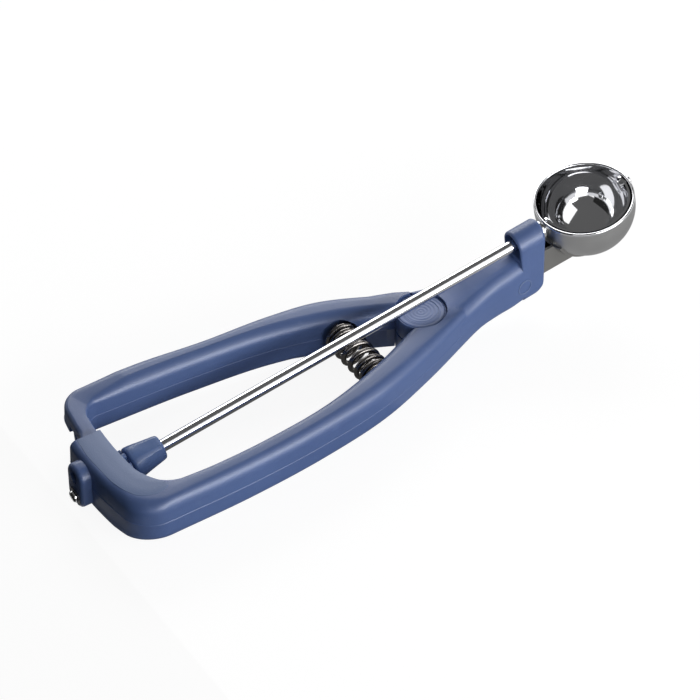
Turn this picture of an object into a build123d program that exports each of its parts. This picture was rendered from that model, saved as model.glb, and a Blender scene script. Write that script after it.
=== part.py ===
from build123d import *
import math
import os

# Lever ice cream scoop. The origin is where the lever's pivot axis meets the flat underside of
# the handle: +X runs along the handle to the bowl, +Y to the lever arm, +Z up.

os.makedirs("parts", exist_ok=True)

# Driving dimensions, in mm and degrees.
handle_height = 17.4        # underside to top of both arms
arm_edge_round = 4.0        # rounding along the arms' long edges
lever_edge_round = 3.2
running_gap = 0.3           # between parts that move past each other
shaft_gap = 0.05            # radial, between a shaft and its bearing

rod_radius = 2.2
rod_pitch = 8.0             # the rod climbs towards the bowl
rod_axis_z = 22.675         # rod's axis above the pivot; stations along it count from the bowl's centre
rod_overhang = 1.34         # rod's end behind the boss
rod_groove_depth = 0.5
rod_groove_width = 0.7
rod_groove_inset = 0.6
rod_end_round = 0.5
rod_flat_depth = 0.6        # flat that drives the knob

bowl_radius = 18.0
bowl_wall = 1.0
bowl_rim_rise = 3.4         # straight band above the half sphere
bowl_rim_round = 0.4
bowl_gap = 2.1              # head to bowl

blade_thickness = 0.8
blade_width = 6.0
blade_gap = 0.4             # blade to the bowl's inside
blade_eye_radius = 3.2
tenon_radius = 1.4
tenon_length = 1.8
rivet_radius = 2.4
rivet_height = 1.2
tip_pin_radius = 1.0
tip_pin_head_radius = 1.7
tip_pin_head_height = 1.1

gear_teeth = 8
gear_tip_radius = 6.0
gear_root_radius = 3.4
gear_tooth_base = 1.8
gear_tooth_tip = 0.6
rack_circle_teeth = 212     # teeth in a full circle about the pivot
rack_teeth = 6
rack_first_tooth = -0.5     # in teeth from the rod's axis, where the pinion has a tooth
rack_tooth_base = 2.0
rack_tooth_tip = 0.8
rack_tip_z = 8.95
rack_root_z = 11.6
knob_gap = 3.1              # tail to knob, along the rod
knob_length = 15.0
knob_front_radius = 4.5
knob_edge_round = 1.0

tail_inner_radius = 124.0   # radii about the pivot axis
tail_width = 12.4
tail_far_y = 10.0
tail_cover = 1.5
tail_edge_round = 3.6
tail_inner_corner = 13.0
tail_outer_corner = 12.0
tail_slot_near_y = -20.0
tail_slot_floor_z = 8.2
tail_belly_drop = 3.0
tail_belly_start_y = -24.0
tail_belly_inset = 2.4
pinion_gap = 0.4

near_arm_outer_y = -32.9    # the arms' edges where they meet the tail's corners
near_arm_inner_y = -23.4
far_arm_outer_y = 34.2
far_arm_inner_y = 23.9
near_inner_points = [(-80, -22.7), (-50, -19.0), (-25.5, -11.6), (-8.2, -4.4)]
near_outer_points = [(-90, -32.8), (-60, -30.8), (-30, -26.0), (-8, -18.7), (12.5, -10.3)]
far_inner_points = [(-80, 21.8), (-50, 18.3), (-28, 12.5), (-8.2, 4.4)]
far_outer_points = [(-98, 33.4), (-72, 30.6), (-45, 28.4), (-30, 25.8), (-8, 17.0)]
inner_heading = (0.91, 0.41)    # the arms' edges head this way where they meet the pivot
outer_heading = (0.93, 0.37)

crossbar_width = 6.6
crossbar_bottom_z = 8.5
crossbar_tip_y = -4.2
crossbar_deep_y = 21.2      # full depth beyond here, clear of the pinion
lever_slope_x = -104.0      # the lever's top slopes down behind here
lever_slope_end_x = -122.0
lever_inner_corner = 6.0
lever_outer_corner = 11.0

pivot_pin_radius = 2.5
pivot_head_radius = 4.5
pivot_head_height = 1.6
pivot_bush_wall = 1.1
pivot_bush_length = 4.4
pivot_washer_radius = 6.0
pivot_washer_thickness = 0.5
pivot_clip_radius = 4.2
pivot_clip_thickness = 0.6
pivot_clip_mouth = 2.6
pivot_groove_depth = 0.4
pivot_cap_radius = 6.2
pivot_cap_thickness = 1.4
pivot_cap_dish = 0.5
knuckle_radius = 9.0
knuckle_top_z = 16.6
knuckle_split_z = 8.4       # top of the frame's half of the joint
shoulder_x = 2.3            # the lever stops against the frame here
shoulder_y = 12.9

neck_edge_round = 4.0
neck_lap = 2.0              # the neck runs on into the head, a little slimmer
neck_inset = 0.25
hood_half_width = 5.4
hood_rise = 5.3             # hood top above the rod's axis
hood_edge_round = 5.2
hood_wall = 2.0
hood_rear_x = 41.0
hood_rear_lean = 3.2
head_front_x = 49.1
head_rear_z = 3.6           # the underside rises from here towards the front
head_front_z = 5.2
head_corner = 5.0
neck_sections = [           # X, half width, underside, top
    (shoulder_x, 13.4, 0, handle_height),
    (8, 11.9, 0, handle_height),
    (12.5, 10.3, 0.3, 17.7),
    (16, 9.1, 1.3, 18.2),
    (21, 7.6, 2.9, 19.3),
    (29, 6.0, 3.2, 21.0),
    (hood_rear_x + neck_lap, hood_half_width - neck_inset, head_rear_z + 2 * neck_inset, 22.9),
]
head_mark_setback = 8.1     # behind the head's front
head_mark_z = 13.0
head_mark_radius = 2.2
head_mark_width = 0.35
head_mark_rise = 0.2
tunnel_floor = -4.2         # from the rod's axis
tunnel_round = 3.0

bracket_half_width = 4.2
bracket_sheet = 1.0
bracket_top = -6.2          # from the rod's axis
bracket_bottom = -16.6
bracket_reach = 12.0        # behind the bowl
saddle_half_width = 7.0
saddle_sheet = 0.8
bracket_pin_radius = 1.2
bracket_pin_reach = 8.0
bracket_pin_drop = -12.0
bracket_pin_cover = 0.9     # plastic over the pin's ends

front_bush_radius = 3.6
front_bush_length = 4.6
front_bush_gap = 0.5        # bush to collar
collar_radius = 3.4
collar_gap = 0.4            # collar to bowl
collar_length = 2.0
collar_chamfer = 0.4
rear_bush_radius = 3.4

boss_half_width = 5.0
boss_bottom_z = -1.0
boss_top_z = 16.0
boss_rise = 3.8
boss_corner_round = 3.2
boss_edge_round = 1.6
keyhole_radius = 1.6
keyhole_z = 11.4
keyhole_depth = 3.0

spring_x = -26.0
spring_z = 8.7
spring_radius = 6.0
spring_wire_radius = 0.8
spring_coils = 6
spring_seat_y = 14.2
spring_pocket_gap = 0.5
post_radius = 3.6
post_root = 2.5
post_length = 5.0
post_edge_round = 0.8

# Worked-out values.
pitch_cos = math.cos(math.radians(rod_pitch))
pitch_sin = math.sin(math.radians(rod_pitch))
tail_outer_radius = tail_inner_radius + tail_width
bowl_centre_x = head_front_x + bowl_gap + bowl_radius
bowl_centre_z = rod_axis_z + bowl_centre_x * pitch_sin / pitch_cos
bowl_centre = Vector(bowl_centre_x, 0, bowl_centre_z)
rod_direction = Vector(pitch_cos, 0, pitch_sin)
rod_up = Vector(-pitch_sin, 0, pitch_cos)
rod_axis = Axis(bowl_centre, rod_direction)
side_plane = Plane(origin=bowl_centre, x_dir=rod_direction, z_dir=(0, -1, 0))
bearing_radius = rod_radius + shaft_gap
collar_front = -bowl_radius - collar_gap
collar_rear = collar_front - collar_length
front_bush_front = collar_rear - front_bush_gap
front_bush_rear = front_bush_front - front_bush_length
bracket_rear = -bowl_radius - bracket_reach
bracket_pin_station = -bowl_radius - bracket_pin_reach
head_mark_x = head_front_x - head_mark_setback
knuckle_floor_z = knuckle_split_z + pivot_washer_thickness + running_gap
knuckle_bush_top_z = knuckle_floor_z + pivot_bush_length
slot_top_z = handle_height - tail_cover
crossbar_top_z = slot_top_z - running_gap
crossbar_inner = tail_inner_radius + running_gap
crossbar_outer = crossbar_inner + crossbar_width
slot_outer = crossbar_outer + running_gap
bowl_inner = bowl_radius - bowl_wall
blade_outer = bowl_inner - blade_gap
blade_inner = blade_outer - blade_thickness
tall = 3 * handle_height    # taller than anything that is cut through
through_tail = 2 * (tail_outer_radius - tail_inner_radius)
diagonal = math.sqrt(0.5)


def rod_plane(station):
    """Plane across the rod at a station: local X is +Y, local Y points up from the rod."""
    return Plane(origin=bowl_centre + rod_direction * station, x_dir=(0, 1, 0), z_dir=rod_direction)


def rod_station(x):
    """Station along the rod's axis at the given X."""
    return (x - bowl_centre_x) / pitch_cos


def rod_height(x):
    """Height of the rod's axis at the given X."""
    return bowl_centre_z + (x - bowl_centre_x) * pitch_sin / pitch_cos


def sphere_reach(radius, off_axis):
    """Distance along the axis from a sphere's centre to its surface, off the axis."""
    return math.sqrt(radius * radius - off_axis * off_axis)


def tail_point(radius, y):
    """Point behind the pivot at a radius about it."""
    return (-sphere_reach(radius, y), y)


def corner_points(tail_radius, edge_y, corner_radius):
    """Start, middle and end of the arc from a tail arc into an arm's edge."""
    side = math.copysign(1, edge_y)
    centre_y = edge_y - side * corner_radius
    centre_x, _ = tail_point(tail_radius - corner_radius, centre_y)
    start_angle = math.atan2(centre_y * side, centre_x)
    end_angle = math.pi / 2
    angles = (start_angle, (start_angle + end_angle) / 2, end_angle)
    return [
        (centre_x + corner_radius * math.cos(angle), centre_y + side * corner_radius * math.sin(angle))
        for angle in angles
    ]


def rounded_ends(moulding):
    """The curved edges around a flat moulding's top and bottom faces."""
    ends = moulding.faces().filter_by(Axis.Z)
    return ends.edges().filter_by(GeomType.LINE, reverse=True)


def outer_rim(face):
    """The face's edges around the outside of the tail."""
    middle_radius = (tail_inner_radius + tail_outer_radius) / 2
    return [edge for edge in face.edges() if math.hypot(edge.center().X, edge.center().Y) > middle_radius]


# Stations at the tail.
boss_face_x = -tail_outer_radius - boss_rise
rod_rear = rod_station(boss_face_x) - rod_overhang
knob_rear = rod_station(-tail_inner_radius) + knob_gap
knob_front = knob_rear + knob_length

# Frame handle: near arm, from the tail's corner to the neck.
near_inner = corner_points(tail_inner_radius, near_arm_inner_y, tail_inner_corner)
near_outer = corner_points(tail_outer_radius, near_arm_outer_y, tail_outer_corner)
near_root_x = near_outer_points[-1][0]

with BuildPart() as near_arm:
    with BuildSketch(Plane.XY):
        with BuildLine():
            ThreePointArc(*near_inner)
            Spline(near_inner[2], *near_inner_points, tangents=[(1, 0), inner_heading])
            Polyline(near_inner_points[-1], (0, 0), (near_root_x, 0), near_outer_points[-1])
            Spline(near_outer[2], *near_outer_points, tangents=[(1, 0), outer_heading])
            ThreePointArc(*near_outer)
            Line(near_outer[0], near_inner[0])
        make_face()
    extrude(amount=handle_height)
    fillet(rounded_ends(near_arm), radius=arm_edge_round)

# Frame handle: tail housing over the rack and pinion.
tail_far_inner = tail_point(tail_inner_radius, tail_far_y)
tail_far_outer = tail_point(tail_outer_radius, tail_far_y)
with BuildPart() as tail_housing:
    with BuildSketch(Plane.XY):
        with BuildLine():
            ThreePointArc(tail_far_inner, (-tail_inner_radius, 0), near_inner[0])
            ThreePointArc(*near_inner)
            TangentArc(near_outer[2], near_inner[2], tangent=(1, 0))
            ThreePointArc(*near_outer)
            ThreePointArc(near_outer[0], (-tail_outer_radius, 0), tail_far_outer)
            Line(tail_far_outer, tail_far_inner)
        make_face()
    extrude(amount=handle_height)
    top_rim = outer_rim(tail_housing.faces().sort_by(Axis.Z)[-1])
    fillet(top_rim, radius=tail_edge_round)
    bottom_rim = outer_rim(tail_housing.faces().sort_by(Axis.Z)[0])
    fillet(bottom_rim, radius=arm_edge_round)

# Frame handle: belly under the tail, the floor beneath the pinion.
with BuildPart() as tail_belly:
    with BuildSketch(Plane.YZ.offset(-tail_outer_radius)):
        with BuildLine():
            Polyline(
                (tail_belly_start_y, 0),
                (0, -tail_belly_drop),
                (tail_far_y, -tail_belly_drop),
                (tail_far_y, tail_belly_drop),
                (tail_belly_start_y, tail_belly_drop),
                close=True,
            )
        make_face()
    extrude(amount=tail_outer_radius - tail_inner_radius + tail_inner_corner)
    with BuildSketch(Plane.XY.offset(-tail_belly_drop)):
        Circle(tail_outer_radius - tail_belly_inset)
        Circle(tail_inner_radius, mode=Mode.SUBTRACT)
    extrude(amount=handle_height, mode=Mode.INTERSECT)

# Frame handle: boss around the rod's rear end.
with BuildPart() as rear_boss:
    with BuildSketch(Plane.YZ.offset(boss_face_x)):
        with Locations((0, (boss_bottom_z + boss_top_z) / 2)):
            RectangleRounded(2 * boss_half_width, boss_top_z - boss_bottom_z, boss_corner_round)
    extrude(amount=2 * boss_rise)
    fillet(rear_boss.faces().sort_by(Axis.X)[0].edges(), radius=boss_edge_round)

# Frame handle: neck, its width and underside changing from the pivot to the head.
with BuildPart() as neck:
    for x, half_width, bottom_z, top_z in neck_sections:
        middle_z = (bottom_z + top_z) / 2
        with BuildSketch(Plane(origin=(x, 0, middle_z), x_dir=(0, 1, 0), z_dir=(1, 0, 0))):
            RectangleRounded(2 * half_width, top_z - bottom_z, neck_edge_round)
    loft()

# Frame handle: head, the block and hood that hold the front bush and the bowl's bracket.
hood_lift = hood_rise / pitch_cos
hood_front_z = rod_height(head_front_x) + hood_lift
hood_rear_z = rod_height(hood_rear_x) + hood_lift
head_underside_plane = Plane(
    origin=(hood_rear_x, 0, head_rear_z),
    x_dir=(0, 1, 0),
    z_dir=(head_front_x - hood_rear_x, 0, head_front_z - head_rear_z),
)
with BuildPart() as head:
    with BuildSketch(Plane.XZ.offset(-hood_half_width)) as head_side:
        with BuildLine():
            Polyline(
                (hood_rear_x, head_rear_z),
                (head_front_x, head_front_z),
                (head_front_x, hood_front_z),
                (hood_rear_x - hood_rear_lean, hood_rear_z),
                close=True,
            )
        make_face()
        fillet(head_side.vertices().group_by(Axis.Y)[0].sort_by(Axis.X)[-1], radius=head_corner)
    extrude(amount=2 * hood_half_width)
    with BuildSketch(rod_plane(rod_station(0))):
        with Locations((0, hood_rise - tall)):
            RectangleRounded(2 * hood_half_width, 2 * tall, hood_edge_round)
    extrude(amount=2 * head_front_x, mode=Mode.INTERSECT)
    with BuildSketch(head_underside_plane):
        with Locations((0, tall)):
            RectangleRounded(2 * hood_half_width, 2 * tall, neck_edge_round)
    extrude(amount=head_front_x, both=True, mode=Mode.INTERSECT)

# Frame handle: the one moulding that carries everything else.
with BuildPart() as frame_handle:
    add(near_arm.part)
    add(tail_housing.part)
    add(tail_belly.part)
    add(rear_boss.part)
    add(neck.part)
    add(head.part)
    with BuildSketch(Plane.XY):
        Circle(knuckle_radius)
    extrude(amount=knuckle_split_z)
    # Recess for the lever's knuckle.
    with BuildSketch(Plane.XY.offset(knuckle_split_z)):
        Circle(knuckle_radius + running_gap)
    extrude(amount=tall, mode=Mode.SUBTRACT)
    # Pivot pin's bore, with its head sunk in the underside.
    with Locations(Plane(origin=(0, 0, 0), z_dir=(0, 0, -1))):
        CounterBoreHole(pivot_pin_radius, pivot_head_radius, pivot_head_height)
    # Slot under the tail's cover for the lever's crossbar.
    with BuildSketch(Plane.XY.offset(tail_slot_floor_z)):
        Circle(slot_outer)
        Circle(tail_inner_radius - running_gap, mode=Mode.SUBTRACT)
        with Locations((-tail_outer_radius, tail_slot_near_y)):
            Rectangle(tail_outer_radius, tall, align=(Align.CENTER, Align.MIN), mode=Mode.INTERSECT)
    extrude(amount=slot_top_z - tail_slot_floor_z, mode=Mode.SUBTRACT)
    # Space for the pinion, and the rear bush's bore through the wall behind it.
    with BuildSketch(rod_plane(rod_station(-slot_outer))):
        Circle(gear_tip_radius + pinion_gap)
    extrude(amount=through_tail, mode=Mode.SUBTRACT)
    with BuildSketch(rod_plane(rod_rear)):
        Circle(rear_bush_radius)
    extrude(amount=through_tail, mode=Mode.SUBTRACT)
    # Blind hole above the rod's end.
    with BuildSketch(Plane.YZ.offset(boss_face_x)):
        with Locations((0, keyhole_z)):
            Circle(keyhole_radius)
    extrude(amount=keyhole_depth, mode=Mode.SUBTRACT)
    # Spring's pocket and its post's hole in the near arm.
    with BuildSketch(Plane.XZ.offset(spring_seat_y)):
        with Locations((spring_x, spring_z)):
            Circle(spring_radius + spring_pocket_gap)
    extrude(amount=-spring_seat_y, mode=Mode.SUBTRACT)
    with BuildSketch(Plane.XZ.offset(spring_seat_y)):
        with Locations((spring_x, spring_z)):
            Circle(post_radius)
    extrude(amount=post_root, mode=Mode.SUBTRACT)
    # Tunnel for the rod under the hood, and the front bush's bore.
    with BuildSketch(rod_plane(front_bush_rear)):
        with Locations((0, (tunnel_floor + hood_rise - hood_wall) / 2)):
            RectangleRounded(
                2 * (hood_half_width - hood_wall), hood_rise - hood_wall - tunnel_floor, tunnel_round
            )
    extrude(amount=-head_front_x, mode=Mode.SUBTRACT)
    with BuildSketch(rod_plane(front_bush_rear)):
        Circle(front_bush_radius)
    extrude(amount=-front_bush_rear, mode=Mode.SUBTRACT)
    # Pocket for the bracket, and its cross pin's blind bore.
    with BuildSketch(rod_plane(bracket_rear)):
        with Locations((0, (bracket_top + bracket_bottom) / 2)):
            Rectangle(2 * bracket_half_width, bracket_top - bracket_bottom)
    extrude(amount=-bracket_rear, mode=Mode.SUBTRACT)
    with BuildSketch(side_plane):
        with Locations((bracket_pin_station, bracket_pin_drop)):
            Circle(bracket_pin_radius)
    extrude(amount=hood_half_width - bracket_pin_cover, both=True, mode=Mode.SUBTRACT)
    # Raised ring on the head's near side.
    with BuildSketch(Plane.XZ.offset(hood_half_width - head_mark_rise)):
        with Locations((head_mark_x, head_mark_z)):
            Circle(head_mark_radius)
            Circle(head_mark_radius - head_mark_width, mode=Mode.SUBTRACT)
    extrude(amount=2 * head_mark_rise)
frame_handle.part.label = "frame_handle"
export_step(frame_handle.part, "parts/frame_handle.step")

# Lever handle: far arm, from the knuckle to the tail.
far_inner = corner_points(crossbar_inner, far_arm_inner_y, lever_inner_corner)
far_outer = corner_points(crossbar_outer, far_arm_outer_y, lever_outer_corner)
far_start_y = far_inner[0][1]
far_end_y = far_outer[0][1]
crossbar_end_y = (far_start_y + far_end_y) / 2
lever_shoulder = (shoulder_x - running_gap, shoulder_y)

with BuildPart() as far_arm:
    with BuildSketch(Plane.XY):
        with BuildLine():
            ThreePointArc(*far_inner)
            Spline(far_inner[2], *far_inner_points, tangents=[(1, 0), (inner_heading[0], -inner_heading[1])])
            Polyline(far_inner_points[-1], (0, 0), (lever_shoulder[0], 0), lever_shoulder)
            Spline(
                far_outer[2], *far_outer_points, lever_shoulder,
                tangents=[(1, 0), (outer_heading[0], -outer_heading[1])],
            )
            ThreePointArc(*far_outer)
            ThreePointArc(
                far_outer[0],
                tail_point(crossbar_outer, crossbar_end_y),
                tail_point(crossbar_outer, far_start_y),
            )
            Line(tail_point(crossbar_outer, far_start_y), far_inner[0])
        make_face()
    extrude(amount=handle_height)
    fillet(rounded_ends(far_arm), radius=lever_edge_round)
    # The top slopes down to the crossbar.
    with BuildSketch(Plane.XZ):
        with BuildLine():
            Polyline(
                (lever_slope_x, handle_height),
                (lever_slope_end_x, crossbar_top_z),
                (-tail_outer_radius, crossbar_top_z),
                (-tail_outer_radius, tall),
                (lever_slope_x, tall),
                close=True,
            )
        make_face()
    extrude(amount=-tall, mode=Mode.SUBTRACT)
    # Nothing hangs below the crossbar behind the tail's inner edge.
    with BuildSketch(Plane.XY):
        Circle(tail_outer_radius)
        Circle(tail_inner_radius - running_gap, mode=Mode.SUBTRACT)
    extrude(amount=crossbar_bottom_z, mode=Mode.SUBTRACT)
    with BuildSketch(Plane.XY):
        with Locations((-tail_inner_radius, 0)):
            Rectangle(through_tail, 2 * crossbar_deep_y)
    extrude(amount=rack_root_z, mode=Mode.SUBTRACT)

# Lever handle: crossbar with the rack along its underside.
with BuildPart() as crossbar:
    with BuildSketch(Plane.XY.offset(rack_root_z)):
        Circle(crossbar_outer)
        Circle(crossbar_inner, mode=Mode.SUBTRACT)
        with Locations((-tail_outer_radius, crossbar_tip_y)):
            Rectangle(
                tail_outer_radius, crossbar_end_y - crossbar_tip_y, align=(Align.CENTER, Align.MIN),
                mode=Mode.INTERSECT,
            )
    extrude(amount=crossbar_top_z - rack_root_z)
    for tooth in range(rack_teeth):
        angle = 180 - (tooth + rack_first_tooth) * 360 / rack_circle_teeth
        radial = Vector(1, 0, 0).rotate(Axis.Z, angle)
        foot = radial * crossbar_inner + Vector(0, 0, rack_root_z)
        with BuildSketch(Plane(origin=foot, x_dir=radial.cross(Vector(0, 0, 1)), z_dir=radial)):
            with BuildLine():
                Polyline(
                    (-rack_tooth_base / 2, 0),
                    (-rack_tooth_tip / 2, rack_tip_z - rack_root_z),
                    (rack_tooth_tip / 2, rack_tip_z - rack_root_z),
                    (rack_tooth_base / 2, 0),
                    close=True,
                )
            make_face()
        extrude(amount=crossbar_width)

with BuildPart() as lever_handle:
    add(far_arm.part)
    add(crossbar.part)
    # The knuckle sits on the frame's half of the joint.
    with BuildSketch(Plane.XY):
        Circle(knuckle_radius + running_gap)
    extrude(amount=knuckle_floor_z, mode=Mode.SUBTRACT)
    with BuildSketch(Plane.XY.offset(knuckle_floor_z)):
        Circle(knuckle_radius)
    extrude(amount=knuckle_top_z - knuckle_floor_z)
    with BuildSketch(Plane.XY.offset(knuckle_top_z)):
        Circle(knuckle_radius + running_gap)
    extrude(amount=tall, mode=Mode.SUBTRACT)
    # Bore for the pivot bush, with room above it for the clip and cap.
    with BuildSketch(Plane.XY.offset(knuckle_floor_z)):
        Circle(pivot_pin_radius + shaft_gap + pivot_bush_wall)
    extrude(amount=tall, mode=Mode.SUBTRACT)
    with BuildSketch(Plane.XY.offset(knuckle_bush_top_z)):
        Circle(pivot_cap_radius)
    extrude(amount=tall, mode=Mode.SUBTRACT)
    # Spring's pocket and its post's hole.
    with BuildSketch(Plane.XZ.offset(-spring_seat_y)):
        with Locations((spring_x, spring_z)):
            Circle(spring_radius + spring_pocket_gap)
    extrude(amount=spring_seat_y, mode=Mode.SUBTRACT)
    with BuildSketch(Plane.XZ.offset(-spring_seat_y)):
        with Locations((spring_x, spring_z)):
            Circle(post_radius)
    extrude(amount=-post_root, mode=Mode.SUBTRACT)
lever_handle.part.label = "lever_handle"
export_step(lever_handle.part, "parts/lever_handle.step")

# Pivot: pin, bush, washer, clip and cap.
pivot_clip_bottom_z = knuckle_bush_top_z + shaft_gap
pivot_clip_top_z = pivot_clip_bottom_z + pivot_clip_thickness
pivot_pin_top_z = knuckle_top_z - pivot_cap_thickness - running_gap
groove_radius = pivot_pin_radius - pivot_groove_depth

with BuildPart() as pivot_pin:
    with BuildSketch(Plane.XY):
        Circle(pivot_head_radius)
    extrude(amount=pivot_head_height)
    with BuildSketch(Plane.XY):
        Circle(pivot_pin_radius)
    extrude(amount=pivot_pin_top_z)
    with BuildSketch(Plane.XY.offset(pivot_clip_bottom_z)):
        Circle(pivot_pin_radius)
        Circle(groove_radius, mode=Mode.SUBTRACT)
    extrude(amount=pivot_clip_thickness, mode=Mode.SUBTRACT)
pivot_pin.part.label = "pivot_pin"
export_step(pivot_pin.part, "parts/pivot_pin.step")

with BuildPart() as pivot_bush:
    with BuildSketch(Plane.XY.offset(knuckle_floor_z)):
        Circle(pivot_pin_radius + shaft_gap + pivot_bush_wall)
        Circle(pivot_pin_radius + shaft_gap, mode=Mode.SUBTRACT)
    extrude(amount=pivot_bush_length)
pivot_bush.part.label = "pivot_bush"
export_step(pivot_bush.part, "parts/pivot_bush.step")

with BuildPart() as pivot_washer:
    with BuildSketch(Plane.XY.offset(knuckle_split_z)):
        Circle(pivot_washer_radius)
        Circle(pivot_pin_radius + shaft_gap, mode=Mode.SUBTRACT)
    extrude(amount=pivot_washer_thickness)
pivot_washer.part.label = "pivot_washer"
export_step(pivot_washer.part, "parts/pivot_washer.step")

with BuildPart() as pivot_clip:
    with BuildSketch(Plane.XY.offset(pivot_clip_bottom_z)):
        Circle(pivot_clip_radius)
        Circle(groove_radius, mode=Mode.SUBTRACT)
        Rectangle(
            2 * pivot_clip_radius, pivot_clip_mouth, align=(Align.MIN, Align.CENTER), mode=Mode.SUBTRACT
        )
    extrude(amount=pivot_clip_thickness)
pivot_clip.part.label = "pivot_clip"
export_step(pivot_clip.part, "parts/pivot_clip.step")

with BuildPart() as pivot_cap:
    with BuildSketch(Plane.XZ):
        with BuildLine():
            cap_bottom_z = knuckle_top_z - pivot_cap_thickness
            Line((0, cap_bottom_z), (pivot_cap_radius, cap_bottom_z))
            Line((pivot_cap_radius, cap_bottom_z), (pivot_cap_radius, knuckle_top_z))
            Line((pivot_cap_radius, knuckle_top_z), (pivot_cap_radius - pivot_cap_dish, knuckle_top_z))
            TangentArc(
                (0, knuckle_top_z - pivot_cap_dish),
                (pivot_cap_radius - pivot_cap_dish, knuckle_top_z),
                tangent=(1, 0),
            )
            Line((0, knuckle_top_z - pivot_cap_dish), (0, cap_bottom_z))
        make_face()
    revolve(axis=Axis.Z)
pivot_cap.part.label = "pivot_cap"
export_step(pivot_cap.part, "parts/pivot_cap.step")

# Return spring between the arms, and the post that holds each end.
coil_radius = spring_radius - spring_wire_radius
spring_reach = spring_seat_y - spring_wire_radius - shaft_gap
with BuildPart() as return_spring:
    with BuildLine() as coil:
        Helix(
            pitch=2 * spring_reach / spring_coils,
            height=2 * spring_reach,
            radius=coil_radius,
            center=(spring_x, -spring_reach, spring_z),
            direction=(0, 1, 0),
        )
    with BuildSketch(Plane(origin=coil.line @ 0, z_dir=coil.line % 0)):
        Circle(spring_wire_radius)
    sweep(is_frenet=True)
return_spring.part.label = "return_spring"
export_step(return_spring.part, "parts/return_spring.step")

with BuildPart() as spring_post_frame:
    with BuildSketch(Plane.XZ.offset(spring_seat_y + post_root)):
        with Locations((spring_x, spring_z)):
            Circle(post_radius)
    extrude(amount=-post_root - post_length)
    chamfer(spring_post_frame.faces().sort_by(Axis.Y)[-1].edges(), length=post_edge_round)
spring_post_frame.part.label = "spring_post_frame"
export_step(spring_post_frame.part, "parts/spring_post_frame.step")

with BuildPart() as spring_post_lever:
    with BuildSketch(Plane.XZ.offset(-spring_seat_y - post_root)):
        with Locations((spring_x, spring_z)):
            Circle(post_radius)
    extrude(amount=post_root + post_length)
    chamfer(spring_post_lever.faces().sort_by(Axis.Y)[0].edges(), length=post_edge_round)
spring_post_lever.part.label = "spring_post_lever"
export_step(spring_post_lever.part, "parts/spring_post_lever.step")

# Drive rod: from the boss at the tail to the blade's eye inside the bowl.
rod_front = -blade_outer
with BuildPart() as drive_rod:
    with BuildSketch(side_plane):
        with BuildLine():
            Polyline(
                (rod_rear, 0),
                (rod_rear, rod_radius),
                (rod_front, rod_radius),
                (rod_front, tenon_radius),
                (rod_front + tenon_length, tenon_radius),
                (rod_front + tenon_length, 0),
                close=True,
            )
        make_face()
    revolve(axis=rod_axis)
    chamfer(drive_rod.faces().sort_by(Axis.X)[0].edges(), length=rod_end_round)
    with BuildSketch(rod_plane(rod_rear + rod_end_round + rod_groove_inset)):
        Circle(rod_radius)
        Circle(rod_radius - rod_groove_depth, mode=Mode.SUBTRACT)
    extrude(amount=rod_groove_width, mode=Mode.SUBTRACT)
    # Flat that drives the knob.
    with BuildSketch(rod_plane(knob_rear)):
        with Locations((0, rod_radius - rod_flat_depth)):
            Rectangle(2 * rod_radius, rod_radius, align=(Align.CENTER, Align.MIN))
    extrude(amount=knob_length / 2, mode=Mode.SUBTRACT)
drive_rod.part.label = "drive_rod"
export_step(drive_rod.part, "parts/drive_rod.step")

# Knob and pinion in one moulding, keyed to the rod's flat.
gear_length = knob_rear - rod_station(-crossbar_outer)
with BuildPart() as pinion_knob:
    with BuildSketch(side_plane):
        with BuildLine():
            Polyline(
                (knob_front, 0),
                (knob_front, knob_front_radius),
                (knob_rear, gear_tip_radius),
                (knob_rear, 0),
                close=True,
            )
        make_face()
    revolve(axis=rod_axis)
    fillet(pinion_knob.faces().sort_by(Axis.X)[-1].edges(), radius=knob_edge_round)
    with BuildSketch(rod_plane(knob_rear)):
        Circle(gear_root_radius)
        with PolarLocations(0, gear_teeth, start_angle=90):
            Polygon(
                (0, -gear_tooth_base / 2),
                (gear_root_radius, -gear_tooth_base / 2),
                (gear_tip_radius, -gear_tooth_tip / 2),
                (gear_tip_radius, gear_tooth_tip / 2),
                (gear_root_radius, gear_tooth_base / 2),
                (0, gear_tooth_base / 2),
                align=None,
            )
    extrude(amount=-gear_length)
    with BuildSketch(rod_plane(knob_front)):
        Circle(rod_radius)
    extrude(amount=-knob_length / 2, mode=Mode.SUBTRACT)
    with BuildSketch(rod_plane(knob_rear - gear_length)):
        Circle(rod_radius)
    extrude(amount=gear_length, mode=Mode.SUBTRACT)
    with BuildSketch(rod_plane(knob_rear)):
        Circle(rod_radius)
        with Locations((0, rod_radius - rod_flat_depth)):
            Rectangle(2 * rod_radius, rod_radius, align=(Align.CENTER, Align.MIN), mode=Mode.SUBTRACT)
    extrude(amount=knob_length / 2, mode=Mode.SUBTRACT)
pinion_knob.part.label = "pinion_knob"
export_step(pinion_knob.part, "parts/pinion_knob.step")

# Bushes that carry the rod, and the collar behind the bowl.
rear_bush_start = rod_station(boss_face_x)
with BuildPart() as rear_bush:
    with BuildSketch(rod_plane(rear_bush_start)):
        Circle(rear_bush_radius)
        Circle(bearing_radius, mode=Mode.SUBTRACT)
    extrude(amount=rod_station(-slot_outer) - rear_bush_start)
rear_bush.part.label = "rear_bush"
export_step(rear_bush.part, "parts/rear_bush.step")

with BuildPart() as front_bush:
    with BuildSketch(rod_plane(front_bush_rear)):
        Circle(front_bush_radius)
        Circle(bearing_radius, mode=Mode.SUBTRACT)
    extrude(amount=front_bush_front - front_bush_rear)
front_bush.part.label = "front_bush"
export_step(front_bush.part, "parts/front_bush.step")

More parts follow.
